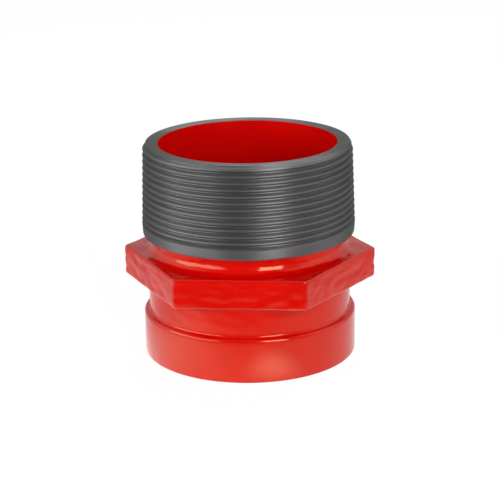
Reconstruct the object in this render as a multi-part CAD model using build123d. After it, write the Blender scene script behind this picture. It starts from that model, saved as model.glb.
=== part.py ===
from build123d import *
import math
import os

# A pipe adapter turned from one casting: a grooved end for a clamp coupling at the foot,
# a hexagon for the wrench, a relief neck and a tapered male pipe thread at the top.
# Sizes are in millimetres. The origin is the centre of the grooved end's face, Z runs up
# the bore towards the thread, and two of the hexagon's flats face -Y and +Y.
# Small roundings are modelled as bevels across the same corner, and the hollow at the
# neck's foot as two facets.

# Grooved end: the seat for the gasket, then the groove that the coupling's keys grip
seat_diameter = 76.1
seat_length = 15.9
seat_bevel = 0.8
end_bevel = 0.45
groove_diameter = 72.3
groove_width = 11.2
groove_bevel = 0.5

# Hexagon
hex_height = 10.65
hex_across_flats = 78.3
hex_corner_round = 1.8
hex_edge_bevel = 0.6

# Relief neck between the hexagon and the thread, as a wall over the bore
relief_wall = 2.3
relief_width = 6.45
relief_hollow = 3.5

# Collar that the thread runs out against: a smooth band that narrows towards the neck
collar_height = 3.7
collar_narrowing = 0.2

# Tapered right-hand male thread
thread_diameter = 75.184
thread_per_inch = 11
thread_depth_in_pitches = 0.64033
thread_taper = 1 / 16
thread_length = 28.7
gauge_length = 17.5
thread_start_angle = 133.0

# Rim at the thread's end
rim_bevel_width = 1.0
rim_bevel_height = 1.7

# Bore
bore_diameter = 63.4
bore_bevel = 0.2

INCH = 25.4
TURNS_INSIDE_COLLAR = 2
TURNS_PAST_RIM = 1
FLANGE_MARGIN = 0.1

# Heights of the faces and edges above the grooved end's face
hex_bottom = seat_length + groove_width
hex_top = hex_bottom + hex_height
collar_bottom = hex_top + relief_width
collar_top = collar_bottom + collar_height
total_height = collar_top + thread_length
gauge_height = total_height - gauge_length

# Thread form: a V of the full pitch and depth, sharp at crest and root
pitch = INCH / thread_per_inch
thread_depth = thread_depth_in_pitches * pitch
flank_rise = pitch / 2 / thread_depth
taper_slope = thread_taper / 2
taper_angle = math.degrees(math.atan(taper_slope))
thread_start = collar_top - TURNS_INSIDE_COLLAR * pitch
turn_count = math.ceil((total_height - thread_start) / pitch) + TURNS_PAST_RIM


def crest_radius(height):
    """Radius of the tapered thread's crest at a height."""
    return thread_diameter / 2 + (gauge_height - height) * taper_slope


def root_radius(height):
    """Radius of the tapered thread's root at a height."""
    return crest_radius(height) - thread_depth


def turned(corners):
    """Solid of revolution about Z from corners given as (radius, height, bevel)."""
    with BuildPart() as part:
        with BuildSketch(Plane.XZ) as section:
            with BuildLine():
                Polyline(*[(radius, height) for radius, height, bevel in corners], close=True)
            make_face()
            for radius, height, bevel in corners:
                if bevel:
                    place = Vector(radius, height, 0)
                    corner = section.vertices().sort_by_distance(place)[0]
                    chamfer(corner, bevel)
        revolve(axis=Axis.Z)
    return part.part


def hexagon():
    """Hexagon with rounded corners and bevelled edges."""
    with BuildPart() as part:
        with BuildSketch(Plane.XY.offset(hex_bottom)) as outline:
            RegularPolygon(hex_across_flats / 2, 6, major_radius=False)
            fillet(outline.vertices(), hex_corner_round)
        extrude(amount=hex_height)
        chamfer(part.faces().filter_by(Axis.Z).edges(), hex_edge_bevel)
    return part.part


def turned_body():
    """Everything that is round, up to the cone that the thread runs out against."""
    seat = seat_diameter / 2
    groove = groove_diameter / 2
    relief = bore_diameter / 2 + relief_wall
    facet = relief_hollow * (1 - math.sqrt(1 / 2))
    collar = crest_radius(collar_top)
    return turned([
        (0, 0, 0),
        (seat, 0, end_bevel),
        (seat, seat_length, seat_bevel),
        (groove, seat_length, groove_bevel),
        (groove, hex_bottom, groove_bevel),
        (groove + groove_bevel + FLANGE_MARGIN, hex_bottom, 0),
        (relief + relief_hollow, hex_top, 0),
        (relief + facet, hex_top + facet, 0),
        (relief, hex_top + relief_hollow, 0),
        (relief, collar_bottom, 0),
        (collar - collar_narrowing, collar_bottom, 0),
        (collar, collar_top, 0),
        (0, collar_top + collar * flank_rise, 0),
    ])


def inside_run_out():
    """Space that the thread keeps out of: all below the collar's top and its cone."""
    collar = crest_radius(collar_top)
    outer = collar + thread_depth
    bottom = thread_start - pitch
    return turned([
        (0, bottom, 0),
        (outer, bottom, 0),
        (outer, collar_top - thread_depth * flank_rise, 0),
        (0, collar_top + collar * flank_rise, 0),
    ])


def thread_turn(radius, height):
    """One turn of the helix that starts at a radius and a height."""
    turn = Helix(
        pitch=pitch / math.cos(math.radians(taper_angle)),
        height=pitch,
        radius=radius,
        center=(0, 0, height),
        cone_angle=-taper_angle,
    )
    return turn.edge()


def thread_end(height):
    """The two faces that close the thread's core over the turn from a height."""
    crest_height = height + pitch / 2
    next_height = height + pitch
    core = Edge.make_line((0, 0, height), (0, 0, next_height))
    step = Wire.make_polygon([
        (0, 0, height),
        (root_radius(height), 0, height),
        (crest_radius(crest_height), 0, crest_height),
        (root_radius(next_height), 0, next_height),
        (0, 0, next_height),
    ])
    root = thread_turn(root_radius(height), height)
    return [Face.make_surface_from_curves(core, root), Face(step)]


def threaded_core():
    """Solid screw on the axis: each turn is a flank up to the crest and a flank down."""
    faces = []
    for turn in range(turn_count):
        height = thread_start + turn * pitch
        crest_height = height + pitch / 2
        next_height = height + pitch
        crest = thread_turn(crest_radius(crest_height), crest_height)
        root = thread_turn(root_radius(height), height)
        next_root = thread_turn(root_radius(next_height), next_height)
        faces.append(Face.make_surface_from_curves(root, crest))
        faces.append(Face.make_surface_from_curves(crest, next_root))
    faces += thread_end(thread_start)
    faces += thread_end(thread_start + turn_count * pitch)
    return Solid(Shell(faces)).rotate(Axis.Z, thread_start_angle)


def beyond_rim():
    """Space past the rim and its bevel."""
    face = crest_radius(total_height) - rim_bevel_width
    edge_height = total_height - rim_bevel_height
    slope = (crest_radius(edge_height) - face) / rim_bevel_height
    outer = thread_diameter
    top = thread_start + (turn_count + 2) * pitch
    return turned([
        (0, total_height, 0),
        (face, total_height, 0),
        (outer, total_height - (outer - face) / slope, 0),
        (outer, top, 0),
        (0, top, 0),
    ])


def bore():
    """Waterway with a small bevel at each end."""
    radius = bore_diameter / 2
    past = bore_bevel + pitch
    return turned([
        (0, -past, 0),
        (radius + bore_bevel + past, -past, 0),
        (radius, bore_bevel, 0),
        (radius, total_height - bore_bevel, 0),
        (radius + bore_bevel + past, total_height + past, 0),
        (0, total_height + past, 0),
    ])


def adapter_body():
    """The whole adapter as one solid."""
    thread = threaded_core() - inside_run_out()
    return turned_body() + thread - beyond_rim() + hexagon() - bore()


os.makedirs("parts", exist_ok=True)
export_step(adapter_body(), "parts/adapter_body.step")
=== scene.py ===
import math

import bmesh
import bpy
from mathutils import Matrix, Vector, noise


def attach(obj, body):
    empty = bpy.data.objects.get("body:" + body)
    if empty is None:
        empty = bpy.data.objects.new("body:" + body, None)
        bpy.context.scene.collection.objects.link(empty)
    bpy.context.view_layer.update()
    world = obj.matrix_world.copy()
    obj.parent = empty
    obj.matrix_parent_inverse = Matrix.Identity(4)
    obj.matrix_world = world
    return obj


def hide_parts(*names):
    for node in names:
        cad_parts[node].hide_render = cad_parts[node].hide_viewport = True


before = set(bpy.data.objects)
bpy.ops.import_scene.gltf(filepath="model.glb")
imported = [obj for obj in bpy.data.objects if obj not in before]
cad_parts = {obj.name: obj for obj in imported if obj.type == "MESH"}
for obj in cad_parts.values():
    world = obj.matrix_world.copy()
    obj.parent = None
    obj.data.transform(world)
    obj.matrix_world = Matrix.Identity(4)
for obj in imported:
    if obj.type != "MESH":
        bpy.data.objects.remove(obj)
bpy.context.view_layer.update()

# Lengths are written in millimetres and heights are above the grooved end's face.
MM = 0.001

# Grooved end
SEAT_RADIUS = 38.05
SEAT_LENGTH = 15.9
SEAT_ROUND = 1.1
END_ROUND = 0.6
GROOVE_RADIUS = 36.15
GROOVE_FILLET = 0.8

# Hexagon
HEX_SIDES = 6
HEX_BOTTOM = 27.1
HEX_TOP = 37.75
HEX_APOTHEM = 39.15
HEX_CORNER_ROUND = 1.8
HEX_EDGE_ROUND = 0.8

# Relief neck and the collar above it
RELIEF_RADIUS = 34.0
RELIEF_FILLET = 3.5
COLLAR_BOTTOM = 44.2
COLLAR_TOP = 47.9
COLLAR_NARROWING = 0.2
COLLAR_EDGE_ROUND = 0.45

# Thread: 11 turns to the inch, 55 degree flanks, rounded crests and roots, taper 1 in 16
PITCH = 25.4 / 11
GAUGE_RADIUS = 37.592
GAUGE_HEIGHT = 59.1
TAPER_SLOPE = 1 / 32
FLANK_ANGLE = math.radians(27.5)
THREAD_DEPTH = 0.64033 * PITCH
CREST_ROUND = 0.137329 * PITCH
CREST_AT_ZERO = 50.51
ROW_PHASES = (0, 0.061, 0.122, 0.25, 0.378, 0.439, 0.5, 0.561, 0.622, 0.75, 0.878, 0.939)

# Rim and bore
TOTAL_HEIGHT = 76.6
RIM_OUTER_RADIUS = 36.05
RIM_BEVEL_HEIGHT = 1.7
BORE_RADIUS = 31.7
BORE_BEVEL = 0.2

# Casting ripples: how far they stand out, and how long and high they are
RIPPLE_LENGTH = 5.5
RIPPLE_HEIGHT = 2.6
RIPPLE_ZONES = ((0.8, 0), (2.5, 0.02), (15.5, 0.02), (17.5, 0.06), (26.5, 0.08), (28.5, 0.26),
                (36.5, 0.26), (38.5, 0.12), (42.5, 0.12), (43.9, 0))

# Columns of the mesh round the axis: even steps, with more of them at the hexagon's corners
EVEN_COLUMNS = 288
CORNER_OFFSETS = (0.3, 0.6, 0.9, 1.25)
WELD_DISTANCE = 0.002
SHARP_ANGLE = math.radians(38)

# Camera, fitted to the photograph of 500 by 500 pixels
IMAGE_PIXELS = 500
FOCAL_PIXELS = 1650.0
CAMERA_DISTANCE = 592.8
CAMERA_AZIMUTH = 4.9
CAMERA_ELEVATION = 17.59
CAMERA_ROLL = 0.85
TARGET_HEIGHT = 37.0
TARGET_PIXEL = (249.07, 247.71)

# Studio. The floor's and the room's brightness are shares of white, and places are in metres.
FLOOR_SIZE = 4.0
FLOOR_CAMERA_SHARE = 0.85
FLOOR_CAMERA_GLOW = 1.1
# The floor's far glow, its pools of glow and its darker front are painted light and painted shade on the
# floor: only reflections see them, in place of the lamps' light falling on it.
FLOOR_PAINTED_FAR_GLOW = 0.45
FLOOR_PAINTED_FRONT_SHARE = 0.03
FLOOR_PAINTED_FRONT_FADE = (-0.135, -0.05)
FLOOR_PAINTED_POOLS = (
    ((0, 0, 0), 0.2, 0.55),
    ((-0.045, -0.04, 0), 0.055, 0.9),
    ((0.018, -0.05, 0), 0.022, 2.2),
)
ROOM_FRONT_SHARE = 0.08
ROOM_BACK_SHARE = 0.5
ROOM_FILL = 0.9
ROOM_ZENITH_SHARE = 0.05


def taper_radius(height):
    """Radius of the thread's tapered crest cylinder at a height."""
    return GAUGE_RADIUS + (GAUGE_HEIGHT - height) * TAPER_SLOPE


def thread_drop(phase):
    """How far the thread's surface lies below its crest, at a share of a turn from it."""
    away = abs(phase - round(phase)) * PITCH
    half = PITCH / 2
    tangent = CREST_ROUND * math.cos(FLANK_ANGLE)
    if away > half - tangent:
        from_root = half - away
        return THREAD_DEPTH - CREST_ROUND + math.sqrt(CREST_ROUND ** 2 - from_root ** 2)
    if away < tangent:
        return CREST_ROUND - math.sqrt(CREST_ROUND ** 2 - away ** 2)
    at_tangent = CREST_ROUND * (1 - math.sin(FLANK_ANGLE))
    return at_tangent + (away - tangent) / math.tan(FLANK_ANGLE)


def thread_radius(angle, height):
    """Outline of the threaded end: thread, run-out cone at the collar and rim bevel."""
    phase = (height - CREST_AT_ZERO) / PITCH - angle / math.tau
    radius = taper_radius(height) - thread_drop(phase)
    collar = taper_radius(COLLAR_TOP)
    run_out = collar - (height - COLLAR_TOP) / math.tan(FLANK_ANGLE)
    edge_height = TOTAL_HEIGHT - RIM_BEVEL_HEIGHT
    slope = (taper_radius(edge_height) - RIM_OUTER_RADIUS) / RIM_BEVEL_HEIGHT
    bevel = RIM_OUTER_RADIUS + (TOTAL_HEIGHT - height) * slope
    return min(max(radius, run_out), bevel)


def hexagon_radius(angle, inset):
    """Distance from the axis to the rounded hexagon, drawn in by an inset."""
    apothem = HEX_APOTHEM - inset
    rounding = max(HEX_CORNER_ROUND - inset, 0.5)
    half_side = math.pi / HEX_SIDES
    centre = (apothem - rounding) / math.cos(half_side)
    from_corner = abs((angle + half_side) % (2 * half_side) - half_side)
    end_x = centre + rounding * math.cos(half_side)
    end_y = rounding * math.sin(half_side)
    if from_corner < math.atan2(end_y, end_x):
        sideways = centre * math.sin(from_corner)
        return centre * math.cos(from_corner) + math.sqrt(rounding ** 2 - sideways ** 2)
    return apothem / math.cos(half_side - from_corner)


def arc(centre_radius, centre_height, rounding, start, end, steps):
    """Points (radius, height) along an arc, with the angles in degrees."""
    points = []
    for step in range(steps + 1):
        turn = math.radians(start + (end - start) * step / steps)
        radius = centre_radius + rounding * math.cos(turn)
        height = centre_height + rounding * math.sin(turn)
        points.append((radius, height))
    return points


def between(start, end, steps):
    """Points strictly between two points (radius, height)."""
    points = []
    for step in range(1, steps):
        share = step / steps
        points.append(tuple(a + (b - a) * share for a, b in zip(start, end)))
    return points


def column_angles():
    """Angles of the mesh's columns, in radians from +X."""
    angles = [math.tau * column / EVEN_COLUMNS for column in range(EVEN_COLUMNS)]
    for corner in range(HEX_SIDES):
        for offset in CORNER_OFFSETS:
            for side in (-1, 1):
                angles.append(math.radians(360 / HEX_SIDES * corner + side * offset) % math.tau)
    return sorted(angles)


def round_row(radius, height):
    """Row of the mesh that runs round at one radius and height."""
    return lambda angle: (radius, height)


def hexagon_row(inset, height):
    """Row of the mesh that follows the hexagon."""
    return lambda angle: (hexagon_radius(angle, inset), height)


def grooved_end_rows():
    """Rows from the bore's lower bevel out, up the seat and the groove to the hexagon."""
    seat_edge = SEAT_RADIUS - END_ROUND
    points = [(BORE_RADIUS, BORE_BEVEL), (BORE_RADIUS + BORE_BEVEL, 0)]
    points += between(points[-1], (seat_edge, 0), 4)
    points += arc(seat_edge, END_ROUND, END_ROUND, -90, 0, 5)
    seat_top = SEAT_LENGTH - SEAT_ROUND
    points += between(points[-1], (SEAT_RADIUS, seat_top), 12)
    points += arc(SEAT_RADIUS - SEAT_ROUND, seat_top, SEAT_ROUND, 0, 90, 6)
    corner = GROOVE_RADIUS + GROOVE_FILLET
    points += arc(corner, SEAT_LENGTH + GROOVE_FILLET, GROOVE_FILLET, -90, -180, 5)
    points += between(points[-1], (GROOVE_RADIUS, HEX_BOTTOM - GROOVE_FILLET), 11)
    points += arc(corner, HEX_BOTTOM - GROOVE_FILLET, GROOVE_FILLET, 180, 90, 5)
    return [round_row(*point) for point in points]


def hexagon_rows():
    """Rows up the hexagon, from its lower edge to its upper edge."""
    side_bottom = HEX_BOTTOM + HEX_EDGE_ROUND
    side_top = HEX_TOP - HEX_EDGE_ROUND
    points = arc(HEX_EDGE_ROUND, side_bottom, HEX_EDGE_ROUND, -90, -180, 5)
    points += between((0, side_bottom), (0, side_top), 14)
    points += arc(HEX_EDGE_ROUND, side_top, HEX_EDGE_ROUND, 180, 90, 5)
    return [hexagon_row(*point) for point in points]


def neck_rows():
    """Rows from the hollow at the neck's foot up to the top of the collar."""
    foot = HEX_TOP + RELIEF_FILLET
    points = arc(RELIEF_RADIUS + RELIEF_FILLET, foot, RELIEF_FILLET, -90, -180, 10)
    points += between(points[-1], (RELIEF_RADIUS, COLLAR_BOTTOM), 4)
    points.append((RELIEF_RADIUS, COLLAR_BOTTOM))
    collar = taper_radius(COLLAR_TOP)
    narrow = collar - COLLAR_NARROWING - COLLAR_EDGE_ROUND
    lean = math.degrees(math.atan(COLLAR_NARROWING / (COLLAR_TOP - COLLAR_BOTTOM)))
    points += arc(narrow, COLLAR_BOTTOM + COLLAR_EDGE_ROUND, COLLAR_EDGE_ROUND, -90, -lean, 5)
    points += between(points[-1], (collar, COLLAR_TOP), 4)
    points.append((collar, COLLAR_TOP))
    return [round_row(*point) for point in points]


def upper_rows():
    """Rows from the rim's outer edge in and down the bore to where the lower rows begin."""
    bevel_edge = (BORE_RADIUS + BORE_BEVEL, TOTAL_HEIGHT)
    points = between((RIM_OUTER_RADIUS, TOTAL_HEIGHT), bevel_edge, 4)
    points += [bevel_edge, (BORE_RADIUS, TOTAL_HEIGHT - BORE_BEVEL)]
    points += between(points[-1], (BORE_RADIUS, BORE_BEVEL), 20)
    points.append((BORE_RADIUS, BORE_BEVEL))
    rows = [lambda angle: (thread_radius(angle, TOTAL_HEIGHT), TOTAL_HEIGHT)]
    return rows + [round_row(*point) for point in points]


def add_rows(mesh, rows, angles):
    """Adds rows of vertices that close round the axis, with the faces between them."""
    last = None
    for row in rows:
        ring = []
        for angle in angles:
            radius, height = row(angle)
            place = (radius * math.cos(angle), radius * math.sin(angle), height)
            ring.append(mesh.verts.new(place))
        if last:
            for column in range(len(angles)):
                following = (column + 1) % len(angles)
                mesh.faces.new((last[column], last[following], ring[following], ring[column]))
        last = ring


def add_thread(mesh, angles):
    """Adds the threaded surface, in rows that climb along the helix."""
    first = CREST_AT_ZERO - PITCH * math.ceil((CREST_AT_ZERO - COLLAR_TOP) / PITCH + 1)
    turns = math.ceil((TOTAL_HEIGHT - first) / PITCH)
    per_turn = len(ROW_PHASES)
    columns = angles + [math.tau]
    last = None
    for row in range(turns * per_turn + 1):
        climb = first + PITCH * (row // per_turn + ROW_PHASES[row % per_turn])
        line = []
        for angle in columns:
            height = climb + PITCH * angle / math.tau
            height = min(max(height, COLLAR_TOP), TOTAL_HEIGHT)
            radius = thread_radius(angle, height)
            place = (radius * math.cos(angle), radius * math.sin(angle), height)
            line.append(mesh.verts.new(place))
        if last:
            for column in range(len(columns) - 1):
                corners = (last[column], last[column + 1], line[column + 1], line[column])
                mesh.faces.new(corners)
        last = line


def ripple_depth(height):
    """How far the casting's ripples stand out at a height."""
    for (low, low_depth), (high, high_depth) in zip(RIPPLE_ZONES, RIPPLE_ZONES[1:]):
        if low <= height <= high:
            return low_depth + (high_depth - low_depth) * (height - low) / (high - low)
    return 0


def add_ripples(mesh):
    """Gives the cast surfaces outside the bore the shallow ripples of a rough casting."""
    mesh.normal_update()
    moves = []
    for vertex in mesh.verts:
        place = vertex.co
        depth = ripple_depth(place.z)
        if depth and math.hypot(place.x, place.y) > BORE_RADIUS + 1:
            spot = Vector((place.x / RIPPLE_LENGTH, place.y / RIPPLE_LENGTH, place.z / RIPPLE_HEIGHT))
            swell = noise.noise(spot) + 0.35 * noise.noise(spot * 2.1 + Vector((7, 3, 5)))
            moves.append((vertex, vertex.normal * depth * swell))
    for vertex, move in moves:
        vertex.co += move


def body_mesh():
    """The adapter's whole surface as one closed mesh, in millimetres."""
    angles = column_angles()
    mesh = bmesh.new()
    add_rows(mesh, grooved_end_rows() + hexagon_rows() + neck_rows(), angles)
    add_thread(mesh, angles)
    add_rows(mesh, upper_rows(), angles)
    bmesh.ops.remove_doubles(mesh, verts=mesh.verts, dist=WELD_DISTANCE)
    bmesh.ops.dissolve_degenerate(mesh, edges=mesh.edges, dist=WELD_DISTANCE)
    bmesh.ops.recalc_face_normals(mesh, faces=mesh.faces)
    add_ripples(mesh)
    return mesh


def is_bare(face):
    """Whether a face lies on the bare machined metal: thread, collar and rim."""
    centre = face.calc_center_median()
    in_bore = math.hypot(centre.x, centre.y) < BORE_RADIUS + BORE_BEVEL / 4
    return centre.z > COLLAR_BOTTOM + 0.01 and not in_bore


def build_body(enamel, metal):
    """The adapter as one object with its two finishes."""
    mesh = body_mesh()
    for face in mesh.faces:
        face.smooth = True
        face.material_index = 1 if is_bare(face) else 0
    for edge in mesh.edges:
        if len(edge.link_faces) == 2 and edge.calc_face_angle() > SHARP_ANGLE:
            edge.smooth = False
    for vertex in mesh.verts:
        vertex.co *= MM
    data = bpy.data.meshes.new("adapter")
    mesh.to_mesh(data)
    mesh.free()
    data.materials.append(enamel)
    data.materials.append(metal)
    body = bpy.data.objects.new("adapter", data)
    bpy.context.collection.objects.link(body)
    return body


def new_material(name):
    """A node material and its main shader."""
    material = bpy.data.materials.new(name)
    material.use_nodes = True
    return material, material.node_tree.nodes["Principled BSDF"]


def add_node(tree, kind, **values):
    """A shader node with the inputs that are given by name."""
    node = tree.nodes.new(kind)
    for name, value in values.items():
        node.inputs[name.replace("_", " ")].default_value = value
    return node


def add_ramp(tree, value, low, high):
    """A colour ramp between two stops, each a position and a colour."""
    ramp = tree.nodes.new("ShaderNodeValToRGB")
    for element, (position, colour) in zip(ramp.color_ramp.elements, (low, high)):
        element.position = position
        element.color = (*colour, 1)
    tree.links.new(value, ramp.inputs["Fac"])
    return ramp.outputs["Color"]


def add_math(tree, operation, first, second):
    """A sum, product or other result of two values, each a number or a node output."""
    node = tree.nodes.new("ShaderNodeMath")
    node.operation = operation
    for socket, value in zip(node.inputs, (first, second)):
        if isinstance(value, (int, float)):
            socket.default_value = value
        else:
            tree.links.new(value, socket)
    return node.outputs["Value"]


def add_fade(tree, value, start, end, low, high):
    """A smooth change from low to high while a value goes from start to end."""
    fade = add_node(tree, "ShaderNodeMapRange", From_Min=start, From_Max=end, To_Min=low, To_Max=high)
    fade.interpolation_type = "SMOOTHSTEP"
    tree.links.new(value, fade.inputs["Value"])
    return fade.outputs["Result"]


def enamel_material():
    """Glossy red enamel over a slightly rippled casting."""
    material, shader = new_material("red_enamel")
    tree = material.node_tree
    link = tree.links.new
    shader.inputs["Metallic"].default_value = 0
    shader.inputs["Specular IOR Level"].default_value = 0.6
    shader.inputs["Specular Tint"].default_value = (1, 0.9, 0.55, 1)
    place = tree.nodes.new("ShaderNodeTexCoord").outputs["Object"]
    blotches = add_node(tree, "ShaderNodeTexNoise", Scale=90, Detail=3, Roughness=0.55)
    link(place, blotches.inputs["Vector"])
    patches = blotches.outputs["Fac"]
    colour = add_ramp(tree, patches, (0.3, (0.64, 0.0012, 0.0006)), (0.7, (0.7, 0.0018, 0.0008)))
    link(colour, shader.inputs["Base Color"])
    gloss = add_node(tree, "ShaderNodeMapRange", To_Min=0.12, To_Max=0.18)
    link(patches, gloss.inputs["Value"])
    link(gloss.outputs["Result"], shader.inputs["Roughness"])
    peel = add_node(tree, "ShaderNodeTexNoise", Scale=420, Detail=2, Roughness=0.5)
    link(place, peel.inputs["Vector"])
    bump = add_node(tree, "ShaderNodeBump", Strength=0.15, Distance=0.0002)
    link(peel.outputs["Fac"], bump.inputs["Height"])
    link(bump.outputs["Normal"], shader.inputs["Normal"])
    return material


def metal_material():
    """Bare machined iron, dark and satin, with fine turning marks."""
    material, shader = new_material("machined_metal")
    tree = material.node_tree
    link = tree.links.new
    shader.inputs["Metallic"].default_value = 0.8
    shader.inputs["Specular Tint"].default_value = (0.4, 0.4, 0.4, 1)
    shader.inputs["Anisotropic"].default_value = 0.75
    shader.inputs["Anisotropic Rotation"].default_value = 0.25
    round_axis = tree.nodes.new("ShaderNodeTangent")
    round_axis.direction_type = "RADIAL"
    round_axis.axis = "Z"
    link(round_axis.outputs["Tangent"], shader.inputs["Tangent"])
    place = tree.nodes.new("ShaderNodeTexCoord").outputs["Object"]
    marks = add_node(tree, "ShaderNodeMapping", Scale=(60, 60, 4000))
    link(place, marks.inputs["Vector"])
    turning = add_node(tree, "ShaderNodeTexNoise", Scale=1, Detail=3, Roughness=0.6)
    link(marks.outputs["Vector"], turning.inputs["Vector"])
    lines = turning.outputs["Fac"]
    colour = add_ramp(tree, lines, (0.3, (0.15, 0.149, 0.148)), (0.75, (0.22, 0.217, 0.215)))
    link(colour, shader.inputs["Base Color"])
    gloss = add_node(tree, "ShaderNodeMapRange", To_Min=0.38, To_Max=0.52)
    link(lines, gloss.inputs["Value"])
    link(gloss.outputs["Result"], shader.inputs["Roughness"])
    bump = add_node(tree, "ShaderNodeBump", Strength=0.3, Distance=0.00005)
    link(lines, bump.inputs["Height"])
    link(bump.outputs["Normal"], shader.inputs["Normal"])
    return material


def add_painted_pool(tree, place, centre, reach, glow):
    """Soft round painted pool of light on the floor, as its glow at a place."""
    away = tree.nodes.new("ShaderNodeVectorMath")
    away.operation = "DISTANCE"
    tree.links.new(place, away.inputs[0])
    away.inputs[1].default_value = centre
    return add_fade(tree, away.outputs["Value"], 0, reach, glow, 0)


def build_floor():
    """Plain white floor that keeps a faint shadow; in reflections it shows painted pools of glow and a
    painted darker front in place of the lamps' light.
    """
    material, shader = new_material("white_floor")
    tree = material.node_tree
    shader.inputs["Base Color"].default_value = (0.9, 0.9, 0.9, 1)
    shader.inputs["Roughness"].default_value = 0.9
    shader.inputs["Specular IOR Level"].default_value = 0
    rays = tree.nodes.new("ShaderNodeLightPath")
    camera = rays.outputs["Is Camera Ray"]
    mirrored = add_math(tree, "MAXIMUM", rays.outputs["Is Glossy Ray"], rays.outputs["Is Transmission Ray"])
    place = tree.nodes.new("ShaderNodeTexCoord").outputs["Object"]
    parts = tree.nodes.new("ShaderNodeSeparateXYZ")
    tree.links.new(place, parts.inputs["Vector"])
    # Painted light: the glow that reflections see, with painted pools of light and painted shade towards
    # the front.
    painted_glow = FLOOR_PAINTED_FAR_GLOW
    for pool in FLOOR_PAINTED_POOLS:
        painted_glow = add_math(tree, "ADD", painted_glow, add_painted_pool(tree, place, *pool))
    front = add_fade(tree, parts.outputs["Y"], *FLOOR_PAINTED_FRONT_FADE, FLOOR_PAINTED_FRONT_SHARE, 1)
    painted_glow = add_math(tree, "MULTIPLY", painted_glow, front)
    seen = add_math(tree, "MULTIPLY", camera, FLOOR_CAMERA_GLOW)
    unseen = add_math(tree, "SUBTRACT", 1, camera)
    glow = tree.nodes.new("ShaderNodeEmission")
    strength = add_math(tree, "ADD", seen, add_math(tree, "MULTIPLY", unseen, painted_glow))
    tree.links.new(strength, glow.inputs["Strength"])
    amount = add_math(tree, "MAXIMUM", add_math(tree, "MULTIPLY", camera, FLOOR_CAMERA_SHARE), mirrored)
    mix = tree.nodes.new("ShaderNodeMixShader")
    tree.links.new(amount, mix.inputs["Fac"])
    tree.links.new(shader.outputs["BSDF"], mix.inputs[1])
    tree.links.new(glow.outputs["Emission"], mix.inputs[2])
    output = tree.nodes["Material Output"]
    tree.links.new(mix.outputs["Shader"], output.inputs["Surface"])
    half = FLOOR_SIZE / 2
    data = bpy.data.meshes.new("floor")
    corners = [(-half, -half, 0), (half, -half, 0), (half, half, 0), (-half, half, 0)]
    data.from_pydata(corners, [], [(0, 1, 2, 3)])
    data.materials.append(material)
    floor = bpy.data.objects.new("floor", data)
    bpy.context.collection.objects.link(floor)
    return floor


def build_world():
    """White backdrop for the camera, and a room that is darker above and in front."""
    world = bpy.data.worlds.new("studio")
    world.use_nodes = True
    bpy.context.scene.world = world
    tree = world.node_tree
    background = tree.nodes["Background"]
    background.inputs["Color"].default_value = (1, 1, 1, 1)
    way = tree.nodes.new("ShaderNodeTexCoord")
    parts = tree.nodes.new("ShaderNodeSeparateXYZ")
    tree.links.new(way.outputs["Generated"], parts.inputs["Vector"])
    front = add_fade(tree, parts.outputs["Y"], -0.6, -0.05, ROOM_FRONT_SHARE, 1)
    back = add_fade(tree, parts.outputs["Y"], 0.1, 0.8, 1, ROOM_BACK_SHARE)
    above = add_fade(tree, parts.outputs["Z"], 0.1, 0.55, 1, ROOM_ZENITH_SHARE)
    rays = tree.nodes.new("ShaderNodeLightPath")
    diffuse = rays.outputs["Is Diffuse Ray"]
    fill = add_math(tree, "MULTIPLY", add_math(tree, "MULTIPLY", above, ROOM_FILL), diffuse)
    mirror = add_math(tree, "SUBTRACT", 1, diffuse)
    sides = add_math(tree, "MULTIPLY", front, back)
    room = add_math(tree, "MULTIPLY", sides, add_math(tree, "ADD", fill, mirror))
    strength = add_math(tree, "MAXIMUM", room, rays.outputs["Is Camera Ray"])
    tree.links.new(strength, background.inputs["Strength"])


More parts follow.
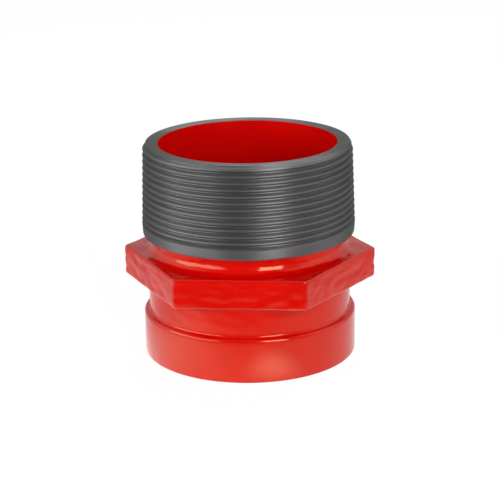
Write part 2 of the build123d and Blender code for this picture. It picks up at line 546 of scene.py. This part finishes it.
def add_light(name, place, size, watts):
    """Soft rectangular lamp that points at the middle of the object."""
    data = bpy.data.lights.new(name, "AREA")
    data.shape = "RECTANGLE"
    data.size, data.size_y = size
    data.energy = watts
    lamp = bpy.data.objects.new(name, data)
    lamp.location = place
    aim = Vector((0, 0, TARGET_HEIGHT * MM)) - lamp.location
    lamp.rotation_euler = aim.to_track_quat("-Z", "Y").to_euler()
    bpy.context.collection.objects.link(lamp)


def build_lights():
    """Large soft lamps at the left and the right in front, and a small one behind."""
    add_light("left_softbox", (-0.95, -0.6, 0.2), (1.3, 0.7), 11)
    add_light("right_softbox", (0.5, -0.83, 0.4), (0.42, 0.7), 7)
    add_light("back_softbox", (0.1, 0.55, 0.75), (0.6, 0.4), 2.5)


def build_camera():
    """Camera at the photograph's angle, distance and framing."""
    azimuth = math.radians(CAMERA_AZIMUTH)
    elevation = math.radians(CAMERA_ELEVATION)
    away = Vector((
        math.sin(azimuth) * math.cos(elevation),
        -math.cos(azimuth) * math.cos(elevation),
        math.sin(elevation),
    ))
    target = Vector((0, 0, TARGET_HEIGHT))
    right = Vector((0, 0, 1)).cross(away).normalized()
    up = away.cross(right)
    middle = IMAGE_PIXELS / 2
    per_pixel = CAMERA_DISTANCE / FOCAL_PIXELS
    aim = target + (middle - TARGET_PIXEL[0]) * per_pixel * right
    aim += (TARGET_PIXEL[1] - middle) * per_pixel * up
    place = target + away * CAMERA_DISTANCE
    back = (place - aim).normalized()
    right = Vector((0, 0, 1)).cross(back).normalized()
    up = back.cross(right)
    turn = Matrix((right, up, back)).transposed()
    roll = Matrix.Rotation(math.radians(-CAMERA_ROLL), 3, "Z")
    data = bpy.data.cameras.new("camera")
    data.sensor_width = 36
    data.lens = FOCAL_PIXELS / IMAGE_PIXELS * data.sensor_width
    data.clip_start = 0.01
    camera = bpy.data.objects.new("camera", data)
    camera.matrix_world = Matrix.Translation(place * MM) @ (turn @ roll).to_4x4()
    bpy.context.collection.objects.link(camera)
    bpy.context.scene.camera = camera


build_camera()
build_lights()
build_world()
build_floor()
adapter = build_body(enamel_material(), metal_material())
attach(adapter, "root")
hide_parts("adapter_body")
bpy.context.scene.view_settings.view_transform = "Standard"
